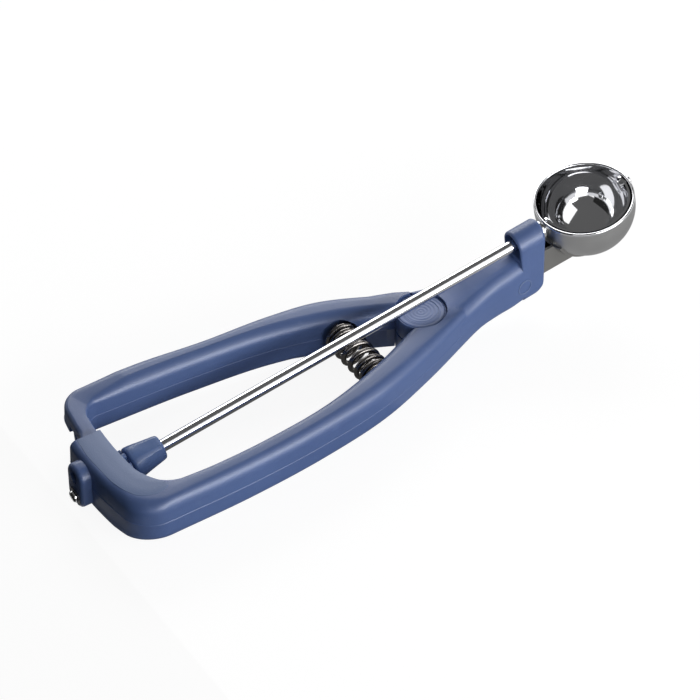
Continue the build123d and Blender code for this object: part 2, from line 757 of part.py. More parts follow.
with BuildPart() as rod_collar:
    with BuildSketch(rod_plane(collar_rear)):
        Circle(collar_radius)
        Circle(rod_radius, mode=Mode.SUBTRACT)
    extrude(amount=collar_front - collar_rear)
    rims = rod_collar.edges().filter_by(GeomType.CIRCLE).group_by(SortBy.LENGTH)[-1]
    chamfer(rims, length=collar_chamfer)
rod_collar.part.label = "rod_collar"
export_step(rod_collar.part, "parts/rod_collar.step")

# Bowl: a half sphere with a short straight band, open upwards.
with BuildPart() as bowl:
    with BuildSketch(side_plane):
        with BuildLine():
            ThreePointArc(
                (0, -bowl_radius), (bowl_radius * diagonal, -bowl_radius * diagonal), (bowl_radius, 0)
            )
            Polyline(
                (bowl_radius, 0), (bowl_radius, bowl_rim_rise), (bowl_inner, bowl_rim_rise), (bowl_inner, 0)
            )
            ThreePointArc((bowl_inner, 0), (bowl_inner * diagonal, -bowl_inner * diagonal), (0, -bowl_inner))
            Line((0, -bowl_inner), (0, -bowl_radius))
        make_face()
    revolve(axis=Axis(bowl_centre, rod_up))
    rim = bowl.faces().sort_by(Axis(bowl_centre, rod_up))[-1]
    fillet(rim.edges(), radius=bowl_rim_round)
    with BuildSketch(rod_plane(-bowl_radius - bowl_wall)):
        Circle(bearing_radius)
    extrude(amount=bowl_radius, mode=Mode.SUBTRACT)
    with BuildSketch(rod_plane(bowl_radius + bowl_wall)):
        Circle(tip_pin_radius + shaft_gap)
    extrude(amount=-bowl_radius, mode=Mode.SUBTRACT)
bowl.part.label = "bowl"
export_step(bowl.part, "parts/bowl.step")

# Bracket: a channel from the head, with a saddle that is welded to the bowl.
with BuildPart() as bowl_bracket:
    with Locations(bowl_centre):
        Sphere(bowl_radius + saddle_sheet)
    with BuildSketch(rod_plane(0)):
        with Locations((0, (bracket_top + bracket_bottom) / 2)):
            Rectangle(2 * saddle_half_width, bracket_top - bracket_bottom)
    extrude(amount=bracket_rear, mode=Mode.INTERSECT)
    with BuildSketch(rod_plane(0)):
        with Locations((0, (bracket_top + bracket_bottom) / 2)):
            Rectangle(2 * bracket_half_width, bracket_top - bracket_bottom)
        with Locations((0, bracket_bottom + bracket_sheet)):
            Rectangle(
                2 * (bracket_half_width - bracket_sheet), tall, align=(Align.CENTER, Align.MIN),
                mode=Mode.SUBTRACT,
            )
    extrude(amount=bracket_rear)
    with BuildSketch(side_plane):
        with Locations((bracket_pin_station, bracket_pin_drop)):
            Circle(bracket_pin_radius)
    extrude(amount=hood_half_width, both=True, mode=Mode.SUBTRACT)
    with Locations(bowl_centre):
        Sphere(bowl_radius, mode=Mode.SUBTRACT)
bowl_bracket.part.label = "bowl_bracket"
export_step(bowl_bracket.part, "parts/bowl_bracket.step")

with BuildPart() as bracket_pin:
    with BuildSketch(side_plane):
        with Locations((bracket_pin_station, bracket_pin_drop)):
            Circle(bracket_pin_radius)
    extrude(amount=hood_half_width - bracket_pin_cover, both=True)
bracket_pin.part.label = "bracket_pin"
export_step(bracket_pin.part, "parts/bracket_pin.step")

# Scraper blade: a strip of a sphere from the rod round to the bowl's far wall.
with BuildPart() as scraper_blade:
    with Locations(bowl_centre):
        Sphere(blade_outer)
        Sphere(blade_inner, mode=Mode.SUBTRACT)
    with BuildSketch(rod_plane(-bowl_radius)):
        with Locations((-bowl_radius / 2, 0)):
            Rectangle(bowl_radius, blade_width)
        Circle(blade_eye_radius)
    extrude(amount=2 * bowl_radius, mode=Mode.INTERSECT)
    with BuildSketch(rod_plane(-bowl_radius)):
        Circle(tenon_radius)
    extrude(amount=bowl_radius, mode=Mode.SUBTRACT)
    with BuildSketch(rod_plane(0)):
        Circle(tip_pin_radius)
    extrude(amount=bowl_radius, mode=Mode.SUBTRACT)
scraper_blade.part.label = "scraper_blade"
export_step(scraper_blade.part, "parts/scraper_blade.step")

# Rivet that closes the rod's tenon inside the blade's eye.
rivet_rear = -sphere_reach(blade_inner, rivet_radius)
with BuildPart() as scraper_rivet:
    with BuildSketch(rod_plane(rivet_rear)):
        Circle(rivet_radius)
    extrude(amount=rivet_height)
    fillet(scraper_rivet.faces().sort_by(Axis.X)[-1].edges(), radius=rivet_height / 2)
    with BuildSketch(rod_plane(rivet_rear)):
        Circle(tenon_radius)
    extrude(amount=rod_front + tenon_length - rivet_rear, mode=Mode.SUBTRACT)
scraper_rivet.part.label = "scraper_rivet"
export_step(scraper_rivet.part, "parts/scraper_rivet.step")

# Pin that turns in the bowl's far wall, with a head on each side.
tip_head_rear = sphere_reach(blade_inner, tip_pin_head_radius) - tip_pin_head_height
with BuildPart() as scraper_tip_pin:
    with BuildSketch(rod_plane(tip_head_rear)):
        Circle(tip_pin_head_radius)
    extrude(amount=tip_pin_head_height)
    with BuildSketch(rod_plane(tip_head_rear)):
        Circle(tip_pin_radius)
    extrude(amount=bowl_radius + running_gap + tip_pin_head_height - tip_head_rear)
    with BuildSketch(rod_plane(bowl_radius + running_gap)):
        Circle(tip_pin_head_radius)
    extrude(amount=tip_pin_head_height)
    fillet(scraper_tip_pin.faces().sort_by(Axis.X)[-1].edges(), radius=tip_pin_head_height / 2)
scraper_tip_pin.part.label = "scraper_tip_pin"
export_step(scraper_tip_pin.part, "parts/scraper_tip_pin.step")
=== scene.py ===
import bpy
import numpy as np
from mathutils import Matrix


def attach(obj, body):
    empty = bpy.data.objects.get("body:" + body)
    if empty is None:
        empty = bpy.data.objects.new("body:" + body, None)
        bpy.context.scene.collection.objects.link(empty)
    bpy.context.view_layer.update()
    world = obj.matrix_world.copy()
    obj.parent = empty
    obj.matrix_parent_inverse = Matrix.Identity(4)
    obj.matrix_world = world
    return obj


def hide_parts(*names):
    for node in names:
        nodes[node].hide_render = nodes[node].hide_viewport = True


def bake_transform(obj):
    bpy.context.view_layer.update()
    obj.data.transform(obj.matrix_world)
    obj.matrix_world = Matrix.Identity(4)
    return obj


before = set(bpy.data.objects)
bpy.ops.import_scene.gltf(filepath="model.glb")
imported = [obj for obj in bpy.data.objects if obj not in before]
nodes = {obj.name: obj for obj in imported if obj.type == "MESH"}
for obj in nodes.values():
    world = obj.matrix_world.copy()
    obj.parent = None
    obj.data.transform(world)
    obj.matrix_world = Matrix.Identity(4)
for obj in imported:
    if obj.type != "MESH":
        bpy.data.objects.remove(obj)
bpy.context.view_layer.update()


mm = 0.001                                  # shapes are worked out in mm, and scaled when finished
print("frame loaded:", len(nodes), "nodes")


def placed(name, data):
    thing = bpy.data.objects.new(name, data)
    bpy.context.scene.collection.objects.link(thing)
    return thing


# the matrix of something at place whose own axes point right, up and back
def standing(place, right, up, back):
    return Matrix.Translation(place) @ Matrix((right, up, back)).transposed().to_4x4()


# the same for something at place that faces aim, with its own back turned away from it
def aimed(place, aim):
    back = np.array(place, float) - np.array(aim, float)
    back /= np.linalg.norm(back)
    right = np.cross((0.0, 0.0, 1.0), back)
    right /= np.linalg.norm(right)
    return standing(place, right, np.cross(back, right), back)


# the camera: its place in metres and its own directions, in the part's frame
view = {
    "place": (-0.5730, -0.8435, 0.9684),
    "right": (0.83869, -0.54459, -0.00374),
    "up": (0.37778, 0.57682, 0.72427),
    "back": (-0.39227, -0.60885, 0.68951),
    "lens": 205.714,
    "sensor": 36.0,
    "clipEnd": 20.0,
}
cameraData = bpy.data.cameras.new("viewCamera")
cameraData.lens = view["lens"]
cameraData.sensor_width = view["sensor"]
cameraData.clip_end = view["clipEnd"]
camera = placed("viewCamera", cameraData)
camera.matrix_world = standing(view["place"], view["right"], view["up"], view["back"])
bpy.context.scene.camera = camera
bpy.context.scene.view_settings.view_transform = "Standard"


# a node's output in Python sums: each sum adds its Math node
class Socket:
    def __init__(self, maker, link):
        self.maker, self.link = maker, link

    def math(self, operation, first, second):
        return self.maker.add("ShaderNodeMath", {"operation": operation}, {0: first, 1: second})

    def __add__(self, other): return self.math("ADD", self, other)
    def __radd__(self, other): return self.math("ADD", other, self)
    def __sub__(self, other): return self.math("SUBTRACT", self, other)
    def __rsub__(self, other): return self.math("SUBTRACT", other, self)
    def __mul__(self, other): return self.math("MULTIPLY", self, other)
    def __rmul__(self, other): return self.math("MULTIPLY", other, self)


# the node tree of one material or of the world
class Maker:
    def __init__(self, owner):
        owner.use_nodes = True
        self.tree = owner.node_tree
        self.tree.nodes.clear()

    # a node of some kind: its settings go first, then the values or links of its inputs
    def add(self, kind, settings=None, values=None, output=0):
        node = self.tree.nodes.new(kind)
        for name, value in (settings or {}).items():
            setattr(node, name, value)
        for name, value in (values or {}).items():
            socket = node.inputs[name]
            if isinstance(value, Socket):
                self.tree.links.new(value.link, socket)
            else:
                socket.default_value = value
        return Socket(self, node.outputs[output]) if len(node.outputs) else None

    def noise(self, place, scale, detail, roughness):
        return self.add("ShaderNodeTexNoise", None, {
            "Vector": place, "Scale": scale, "Detail": detail, "Roughness": roughness})

    # value carried in a straight line from low..high to start..end, and held at both ends
    def between(self, value, low, high, start=0.0, end=1.0):
        return self.add("ShaderNodeMapRange", {"clamp": True}, {
            "Value": value, "From Min": low, "From Max": high, "To Min": start, "To Max": end})

    # share of the second colour in the first; a colour mix has its colours on inputs 6 and 7
    def mix(self, share, first, second):
        return self.add("ShaderNodeMix", {"data_type": "RGBA"}, {0: share, 6: first, 7: second}, 2)

    # 1 for rays of the kinds named and 0 for others: the largest of the light path's marks
    def raysOf(self, *kinds):
        marks = self.add("ShaderNodeLightPath").link.node.outputs
        largest = Socket(self, marks[kinds[0]])
        for kind in kinds[1:]:
            largest = largest.math("MAXIMUM", largest, Socket(self, marks[kind]))
        return largest

    def show(self, shader, kind="ShaderNodeOutputMaterial"):
        self.add(kind, None, {"Surface": shader})


def grey(level):
    return (level, level, level, 1.0)


# screen colour 0..255 to the linear colour that a shader takes, by the usual screen curve
def linear(red, green, blue):
    parts = [value / 255 for value in (red, green, blue)]
    parts = [part / 12.92 if part <= 0.04045 else ((part + 0.055) / 1.055) ** 2.4 for part in parts]
    return (*parts, 1.0)


room = {"level": 0.20, "seen": 1.0}         # light on the object, and what camera and metal see
world = bpy.data.worlds.new("softRoom")
bpy.context.scene.world = world
maker = Maker(world)
direct = maker.raysOf("Is Camera Ray", "Is Glossy Ray", "Is Transmission Ray")
strength = maker.between(direct, 0.0, 1.0, room["level"], room["seen"])
sky = maker.add("ShaderNodeBackground", None, {"Color": grey(1.0), "Strength": strength})
maker.show(sky, "ShaderNodeOutputWorld")

lamps = {
    "nearSoftbox": {"place": (0.26, -0.92, 0.38), "aim": (-0.02, 0.0, 0.0),
                    "size": (1.05, 0.44), "power": 7.8},
    "backSoftbox": {"place": (0.36, 0.74, 0.56), "aim": (-0.02, 0.0, 0.0),
                    "size": (0.75, 0.36), "power": 4.6},
}
for name, lamp in lamps.items():
    data = bpy.data.lights.new(name, "AREA")
    data.shape = "RECTANGLE"
    data.size, data.size_y = lamp["size"]
    data.energy = lamp["power"]
    placed(name, data).matrix_world = aimed(lamp["place"], lamp["aim"])


def flatSheet(name, width, height):
    mesh = bpy.data.meshes.new(name)
    corners = ((-1, -1), (1, -1), (1, 1), (-1, 1))
    mesh.from_pydata([(x * width / 2, y * height / 2, 0) for x, y in corners], [], [(0, 1, 2, 3)])
    return placed(name, mesh)


# Cards as a studio uses them. They show in glossy surfaces only, but the two at the tail that
# shade also take light away from the end face, which looks at them. A level card's aim lies a
# hair off the vertical, which settles its turn.
flags = {
    "bowlFloorFlag": {"place": (0.13, 0.0, -0.00305), "aim": (0.13, 0.0001, -1.0),
                      "size": (0.30, 0.44), "tone": 0.36, "shades": False},
    "handleFloorFlag": {"place": (-0.08, 0.0, -0.00305), "aim": (-0.08, 0.0001, -1.0),
                        "size": (0.12, 0.44), "tone": 0.10, "shades": False},
    "ceilingFlag": {"place": (0.0, 0.0, 1.05), "aim": (0.0, -0.0001, 0.0),
                    "size": (4.4, 4.4), "tone": 0.11, "shades": False},
    "windowCard": {"place": (0.36, -0.56, 0.66), "aim": (-0.02, 0.0, 0.0),
                   "size": (0.74, 0.50), "tone": 1.3, "shades": False},
    "nearGlow": {"place": (0.12, -0.94, 0.26), "aim": (-0.02, 0.0, 0.0),
                 "size": (0.74, 0.32), "tone": 9.0, "shades": False},
    "farGlow": {"place": (0.40, 0.92, 0.22), "aim": (-0.02, 0.0, 0.0),
                "size": (0.9, 0.36), "tone": 3.0, "shades": False},
    "tailFloorFlag": {"place": (-0.24, 0.02, -0.00300), "aim": (-0.24, 0.0201, -1.0),
                      "size": (0.196, 0.30), "tone": 0.02, "shades": True},
    "tailSideFlag": {"place": (-0.34, 0.02, 0.15), "aim": (0.0, 0.02, 0.15),
                     "size": (0.5, 0.32), "tone": 0.02, "shades": True},
}
for name, flag in flags.items():
    card = flatSheet(name, *flag["size"])
    card.data.transform(aimed(flag["place"], flag["aim"]))
    card.visible_camera = card.visible_shadow = card.visible_transmission = False
    card.visible_diffuse = flag["shades"]
    finish = bpy.data.materials.new(name)
    maker = Maker(finish)
    maker.show(maker.add("ShaderNodeEmission", None,
                         {"Color": grey(flag["tone"]), "Strength": 1.0}))
    card.data.materials.append(finish)

# the floor lies just under the belly; camera and metal see most of it as an even pale glow
floorValues = {"z": -0.0031, "width": 6.0, "white": 0.86, "seen": 0.84, "glow": 1.09}
floor = flatSheet("floor", floorValues["width"], floorValues["width"])
floor.data.transform(Matrix.Translation((0.0, 0.0, floorValues["z"])))
floorFinish = bpy.data.materials.new("paleFloor")
maker = Maker(floorFinish)
seen = maker.raysOf("Is Camera Ray", "Is Glossy Ray") * floorValues["seen"]
matt = maker.add("ShaderNodeBsdfDiffuse", None, {"Color": grey(floorValues["white"])})
glow = maker.add("ShaderNodeEmission", None,
                 {"Color": grey(1.0), "Strength": floorValues["glow"]})
maker.show(maker.add("ShaderNodeMixShader", None, {0: seen, 1: matt, 2: glow}))
floor.data.materials.append(floorFinish)
print("camera, floor and lamps in place")

# Finishes. Each noise is (scale, detail, roughness), and each span is the part of the noise,
# which lies about 0.5, over which a change goes from none to full.
noiseMiddle = 0.5
plasticLook = {
    "drift": (22.0, 2.0, 0.5), "driftSpan": (0.35, 0.65), "driftGloss": 0.06,
    "scuff": (260.0, 4.0, 0.65), "scuffSpan": (0.58, 0.8), "scuffShare": 0.35,
    "dullSpan": (0.5, 0.75), "dullness": 0.08,
    "fine": (2600.0, 2.0, 0.5), "scuffHeight": 0.6, "bumpDepth": 0.0001,
    "ior": 1.5,
}
metalLook = {
    "cloud": (45.0, 2.0, 0.5), "cloudSpan": (0.3, 0.7), "cloudGloss": 0.5,
    "lines": (4.0, 0.6), "bumpDepth": 0.00005,          # the lines' detail and roughness
}


# moulded plastic: a slight drift of colour, fine grain, and scuffs that dull the gloss
def plastic(name, colour, dark, pale, roughness, grain):
    finish = bpy.data.materials.new(name)
    maker = Maker(finish)
    place = maker.add("ShaderNodeTexCoord", output="Object")
    drift = maker.noise(place, *plasticLook["drift"])
    scuff = maker.noise(place, *plasticLook["scuff"])
    fine = maker.noise(place, *plasticLook["fine"])
    drifted = maker.between(drift, *plasticLook["driftSpan"])
    body = maker.mix(drifted, linear(*dark), linear(*colour))
    scuffed = maker.between(scuff, *plasticLook["scuffSpan"], 0.0, plasticLook["scuffShare"])
    body = maker.mix(scuffed, body, linear(*pale))
    gloss = (roughness + (drift - noiseMiddle) * plasticLook["driftGloss"]
             + maker.between(scuff, *plasticLook["dullSpan"], 0.0, plasticLook["dullness"]))
    bump = maker.add("ShaderNodeBump", None, {
        "Strength": grain, "Distance": plasticLook["bumpDepth"],
        "Height": fine + scuff * plasticLook["scuffHeight"]})
    maker.show(maker.add("ShaderNodeBsdfPrincipled", None, {
        "Base Color": body, "Roughness": gloss, "Normal": bump, "IOR": plasticLook["ior"]}))
    return finish


# steel: a faint cloudy tone, and fine drawn or turned lines with which the roughness varies
def metal(name, colour, dark, roughness, spread, grain, stretch=(1.0, 1.0, 1.0), scale=160.0):
    finish = bpy.data.materials.new(name)
    maker = Maker(finish)
    place = maker.add("ShaderNodeTexCoord", output="Object")
    drawn = maker.add("ShaderNodeMapping", None, {"Vector": place, "Scale": stretch})
    cloud = maker.noise(place, *metalLook["cloud"])
    lines = maker.noise(drawn, scale, *metalLook["lines"])
    clouded = maker.between(cloud, *metalLook["cloudSpan"])
    tone = maker.mix(clouded, linear(*dark), linear(*colour))
    gloss = (roughness + (lines - noiseMiddle) * spread
             + (cloud - noiseMiddle) * spread * metalLook["cloudGloss"])
    bump = maker.add("ShaderNodeBump", None, {
        "Strength": grain, "Distance": metalLook["bumpDepth"], "Height": lines})
    maker.show(maker.add("ShaderNodeBsdfPrincipled", None, {
        "Base Color": tone, "Roughness": gloss, "Metallic": 1.0, "Normal": bump}))
    return finish


plastics = {
    "handleBlue": {"colour": (83, 106, 156), "dark": (79, 101, 150), "pale": (99, 122, 168),
                   "roughness": 0.38, "grain": 0.25},
    # the handle's blue made paler and greyer: painted sheen for the lit flat tail plate, and a
    # painted highlight on the head's ring
    "plateBlue": {"colour": (104, 124, 165), "dark": (99, 119, 160), "pale": (118, 137, 176),
                  "roughness": 0.46, "grain": 0.35},
    # the handle's blue plastic made lighter for the knob alone, as painted light
    "knobBlue": {"colour": (88, 113, 162), "dark": (82, 106, 155), "pale": (106, 130, 176),
                 "roughness": 0.36, "grain": 0.3},
    "shadeBlue": {"colour": (34, 44, 68), "dark": (30, 38, 60), "pale": (44, 56, 84),
                  "roughness": 0.5, "grain": 0.3},
}
metals = {
    "rodSteel": {"colour": (236, 236, 238), "dark": (226, 227, 230),
                 "roughness": 0.15, "spread": 0.02, "grain": 0.0, "stretch": (1.0, 14.0, 14.0)},
    "mirrorSteel": {"colour": (236, 236, 238), "dark": (224, 225, 228),
                    "roughness": 0.06, "spread": 0.03, "grain": 0.03},
    "satinSteel": {"colour": (172, 171, 169), "dark": (158, 157, 155),
                   "roughness": 0.34, "spread": 0.10, "grain": 0.12},
    "bowlSatin": {"colour": (206, 206, 206), "dark": (190, 190, 190),
                  "roughness": 0.34, "spread": 0.10, "grain": 0.10},
    "springSteel": {"colour": (156, 152, 148), "dark": (134, 130, 127),
                    "roughness": 0.20, "spread": 0.08, "grain": 0.10, "scale": 420.0},
}
finishes = {name: plastic(name, **values) for name, values in plastics.items()}
finishes.update({name: metal(name, **values) for name, values in metals.items()})
print("finishes made:", len(finishes))


# 0 up to start, 1 from start + length on, and a straight line between
def ramp(value, start, length):
    return np.clip((value - start) / length, 0, 1)


# a ramp with soft ends: three times its square less twice its cube
def eased(share):
    return share * share * (3 - 2 * share)


def circleAngles(count):
    return np.arange(count) * 2 * np.pi / count


# lengths along a row of points, from 0 at the first
def chordLengths(points):
    return np.concatenate([[0], np.cumsum(np.linalg.norm(np.diff(points, axis=0), axis=1))])


# smooth curve through points: cubic pieces, spaced by chord length, whose slopes come from the
# neighbouring points
def curveThrough(points, count):
    points = np.asarray(points, float)
    reach = chordLengths(points)
    slope = np.gradient(points, reach, axis=0, edge_order=1)
    at = np.linspace(0, reach[-1], count)
    piece = np.clip(np.searchsorted(reach, at, side="right") - 1, 0, len(points) - 2)
    span = (reach[piece + 1] - reach[piece])[:, None]
    t = (at[:, None] - reach[piece][:, None]) / span
    return ((2 * t**3 - 3 * t**2 + 1) * points[piece] + (t**3 - 2 * t**2 + t) * span * slope[piece]
            + (3 * t**2 - 2 * t**3) * points[piece + 1] + (t**3 - t**2) * span * slope[piece + 1])


# points on a circle in plan: centre plus radius times cosine and sine, from start to end
def arcPoints(centre, radius, start, end, count):
    angle = np.linspace(start, end, count)
    return np.stack([centre[0] + radius * np.cos(angle), centre[1] + radius * np.sin(angle)], -1)


# an edge in plan: the tail's arc about the pivot from endY, the corner's arc that touches both
# it and the line Y = edgeY, then a smooth curve through the arm's points
def tailPath(radius, cornerRadius, edgeY, endY, armPoints, counts):
    side = np.sign(edgeY)
    centreY = edgeY - side * cornerRadius
    centreX = -np.sqrt((radius - cornerRadius) ** 2 - centreY**2)
    meeting = np.arctan2(centreY, centreX) % (2 * np.pi)
    ending = np.arctan2(endY, -np.sqrt(radius**2 - endY**2)) % (2 * np.pi)
    turnEnd = np.pi - side * np.pi / 2
    tail = arcPoints((0, 0), radius, ending, meeting, counts[0])
    corner = arcPoints((centreX, centreY), cornerRadius, meeting, turnEnd, counts[1])
    arm = curveThrough([corner[-1], *armPoints], counts[2])
    return np.concatenate([tail[:-1], corner[:-1], arm])


# a bar's inner and outer edges, row by row
def barEdges(bar):
    return [tailPath(bar["tailRadii"][at], bar["cornerRadii"][at], bar["edgeY"][at], bar["endY"],
                     bar[arm], bar["counts"]) for at, arm in enumerate(("innerArm", "outerArm"))]


# Sections of a moulded bar between two edges in plan: a block with rounded edges, given as top
# outer, top inner, low inner and low outer. Its sides lean in from the parting line by draft, its
# top falls by crown times (across / half width) squared, and a fine ridge runs along the line.
def mouldedSections(inner, outer, low, high, roundings, draft, crown,
                    ridge=0.0, parting=None, steps=8):
    fullest = 0.98                                      # of the half width, for a rounding
    lineHalf = 0.16                                     # half the height of the ridge
    flatShares = np.array([0.25, 0, -0.25])             # points on the flats, by half width
    middle, across = (inner + outer) / 2, outer - inner
    half = np.linalg.norm(across, axis=1) / 2
    across = across / (2 * half[:, None])
    half = half - ridge
    count = len(half)
    topOuter, topInner, lowInner, lowOuter = (
        np.minimum(np.broadcast_to(value, count), fullest * half) for value in roundings)
    low, high, draft, crown, ridge = (
        np.broadcast_to(value, count) for value in (low, high, draft, crown, ridge))
    split = (low + high) / 2 if parting is None else np.broadcast_to(parting, count)
    width, height = [], []

    def line(side):
        width.append(side * (half[:, None] + ridge[:, None] * np.array([0, 1, 0])))
        height.append(split[:, None] + side * lineHalf * np.array([-1, 0, 1]))

    def corner(side, level, radius, start):
        angle = np.linspace(start, start + np.pi / 2, steps)
        width.append(side * (half - radius)[:, None] + radius[:, None] * np.cos(angle))
        height.append(level[:, None] + radius[:, None] * np.sin(angle))

    def flat(side, level):
        width.append(side * half[:, None] * flatShares)
        height.append(level[:, None] + 0 * flatShares)

    line(1)
    corner(1, high - topOuter, topOuter, 0)
    flat(1, high)
    corner(-1, high - topInner, topInner, np.pi / 2)
    line(-1)
    corner(-1, low + lowInner, lowInner, np.pi)
    flat(-1, low)
    corner(1, low + lowOuter, lowOuter, 1.5 * np.pi)
    width, height = np.concatenate(width, 1), np.concatenate(height, 1)
    reach = np.where(height > split[:, None], (high - split)[:, None], (split - low)[:, None])
    rise = (height - split[:, None]) / reach
    width = width - np.sign(width) * draft[:, None] * np.abs(rise)
    height = height - crown[:, None] * (width / half[:, None]) ** 2 * np.clip(rise, 0, 1)
    plan = middle[:, None, :] + across[:, None, :] * width[:, :, None]
    return np.concatenate([plan, height[:, :, None]], 2)


# a closed mesh over rows of points: each row is a loop, and the end rows close to their middles,
# or to each other in a ring; all faces are turned over where the volume comes out negative
def skin(name, grid, ring=False):
    rows, columns = grid.shape[:2]
    points = grid.reshape(-1, 3)
    turn = np.arange(columns)
    beside = (turn + 1) % columns
    row = (np.arange(rows if ring else rows - 1) * columns)[:, None]
    onward = (row + columns) % (rows * columns)
    quads = np.stack([row + turn, row + beside, onward + beside, onward + turn], -1).reshape(-1, 4)
    fans = np.zeros((0, 3), int)
    if not ring:
        last = (rows - 1) * columns
        points = np.concatenate([points, [grid[0].mean(0)], [grid[-1].mean(0)]])
        firstFan = np.stack([np.full(columns, rows * columns), beside, turn], -1)
        lastFan = np.stack([np.full(columns, rows * columns + 1), last + turn, last + beside], -1)
        fans = np.concatenate([firstFan, lastFan])
    triangles = np.concatenate([quads[:, :3], quads[:, [0, 2, 3]], fans])
    a, b, c = (points[triangles[:, index]] for index in range(3))
    if np.einsum("ij,ij->i", a, np.cross(b, c)).sum() < 0:
        quads, fans = quads[:, ::-1], fans[:, ::-1]
    mesh = bpy.data.meshes.new(name)
    mesh.from_pydata(points.tolist(), [], quads.tolist() + fans.tolist())
    return placed(name, mesh)


# a profile of (station, radius) turned about an axis: origin plus station along the axis plus
# radius around it; shape(station, angle) scales the radius
def turned(name, profile, origin, axis, segments=96, shape=None):
    profile = np.asarray(profile, float)
    axis = np.asarray(axis, float) / np.linalg.norm(axis)
    side = np.cross(axis, (0.0, 1.0, 0.0)) if abs(axis[1]) < 0.9 else np.array([1.0, 0.0, 0.0])
    side /= np.linalg.norm(side)
    other = np.cross(axis, side)
    angle = circleAngles(segments)
    station, radius = profile[:, :1], profile[:, 1:] * np.ones((1, segments))
    if shape is not None:
        radius = radius * shape(station, angle[None, :])
    around = np.cos(angle)[:, None] * side + np.sin(angle)[:, None] * other
    start = np.asarray(origin, float) + station[:, :, None] * axis
    return skin(name, start + radius[:, :, None] * around[None])


# a round wire along a path that runs nearly square to Y: circles square to the path
def tube(name, path, radius, sides, ring=False):
    along = np.roll(path, -1, 0) - np.roll(path, 1, 0) if ring else np.gradient(path, axis=0)
    along /= np.linalg.norm(along, axis=1)[:, None]
    side = np.cross(along, (0.0, 1.0, 0.0))
    side /= np.linalg.norm(side, axis=1)[:, None]
    other = np.cross(along, side)
    angle = circleAngles(sides)[None, :, None]
    around = np.cos(angle) * side[:, None, :] + np.sin(angle) * other[:, None, :]
    return skin(name, path[:, None, :] + radius * around, ring)


# cuts with another closed piece, or joins it on; the other piece is then removed
def trimmed(piece, other, operation="DIFFERENCE"):
    modifier = piece.modifiers.new("trim", "BOOLEAN")
    modifier.operation, modifier.solver, modifier.object = operation, "MANIFOLD", other
    bpy.context.view_layer.update()
    evaluated = piece.evaluated_get(bpy.context.evaluated_depsgraph_get())
    result = bpy.data.meshes.new_from_object(evaluated)
    piece.modifiers.clear()
    piece.data = result
    bpy.data.objects.remove(other)
    return piece


# scales to metres, shades smooth with creases kept, and hangs the piece on its body if it has one
def finished(piece, body, finish, *stands, slot=None, crease=40.0):
    mesh = piece.data
    mesh.transform(Matrix.Scale(mm, 4))
    mesh.polygons.foreach_set("use_smooth", np.ones(len(mesh.polygons), bool))
    mesh.set_sharp_from_angle(angle=np.radians(crease))
    mesh.materials.clear()
    for one in (finish if isinstance(finish, tuple) else (finish,)):
        mesh.materials.append(finishes[one])
    mesh.update()
    if body:
        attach(piece, body)
    if stands:
        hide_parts(*stands)
    return piece


# the pivot stands upright at the origin, and the rod's axis climbs to the bowl's centre
pivot, upright = (0, 0, 0), (0, 0, 1)
pitch = np.radians(8.0)
rodDirection = np.array([np.cos(pitch), 0.0, np.sin(pitch)])
rodUp = np.array([-np.sin(pitch), 0.0, np.cos(pitch)])
sideways = np.array([0.0, 1.0, 0.0])
bowlCentre = np.array([69.2, 0.0, 32.4])
springSeat = {"x": -26.0, "z": 8.7, "pocket": 6.6}


def onRod(station, lift=0.0, across=0.0):
    return bowlCentre + rodDirection * station + rodUp * lift + sideways * across


def rodHeight(x):
    return bowlCentre[2] + (x - bowlCentre[0]) * np.tan(pitch)


# plain round cutters: between two points, about the pivot, about the rod, about the spring
def cylinder(name, start, end, radius, segments=64):
    start, end = np.asarray(start, float), np.asarray(end, float)
    profile = [(0, radius), (np.linalg.norm(end - start), radius)]
    return turned(name, profile, start, end - start, segments)


def aboutPivot(name, low, high, radius, segments=64):
    return cylinder(name, (0, 0, low), (0, 0, high), radius, segments)


def aboutRod(name, start, end, radius):
    return cylinder(name, onRod(start), onRod(end), radius)


def aboutSpring(name, startY, endY):
    ends = [(springSeat["x"], y, springSeat["z"]) for y in (startY, endY)]
    return cylinder(name, *ends, springSeat["pocket"])


# a block curved about the pivot, between two values of Y behind it
def ringBlock(name, innerRadius, outerRadius, startY, endY, low, high, steps=40):
    y = np.linspace(startY, endY, steps)
    inner = np.stack([-np.sqrt(innerRadius**2 - y**2), y], -1)
    outer = inner / innerRadius * outerRadius
    corners = ((inner, low), (outer, low), (outer, high), (inner, high))
    rows = [np.concatenate([edge, np.full((len(y), 1), level)], 1) for edge, level in corners]
    return skin(name, np.stack(rows, 1))


def cutAway(piece, cuts):
    for name, (shape, values) in cuts.items():
        piece = trimmed(piece, shape(name, **values))
    return piece


# the rounding of a handle's inner foot shrinks towards the pivot, from a value of X on
foot = {"shrink": 0.85, "startX": -42.0, "length": 18.0}


def footFade(x):
    return 1 - foot["shrink"] * ramp(x, foot["startX"], foot["length"])


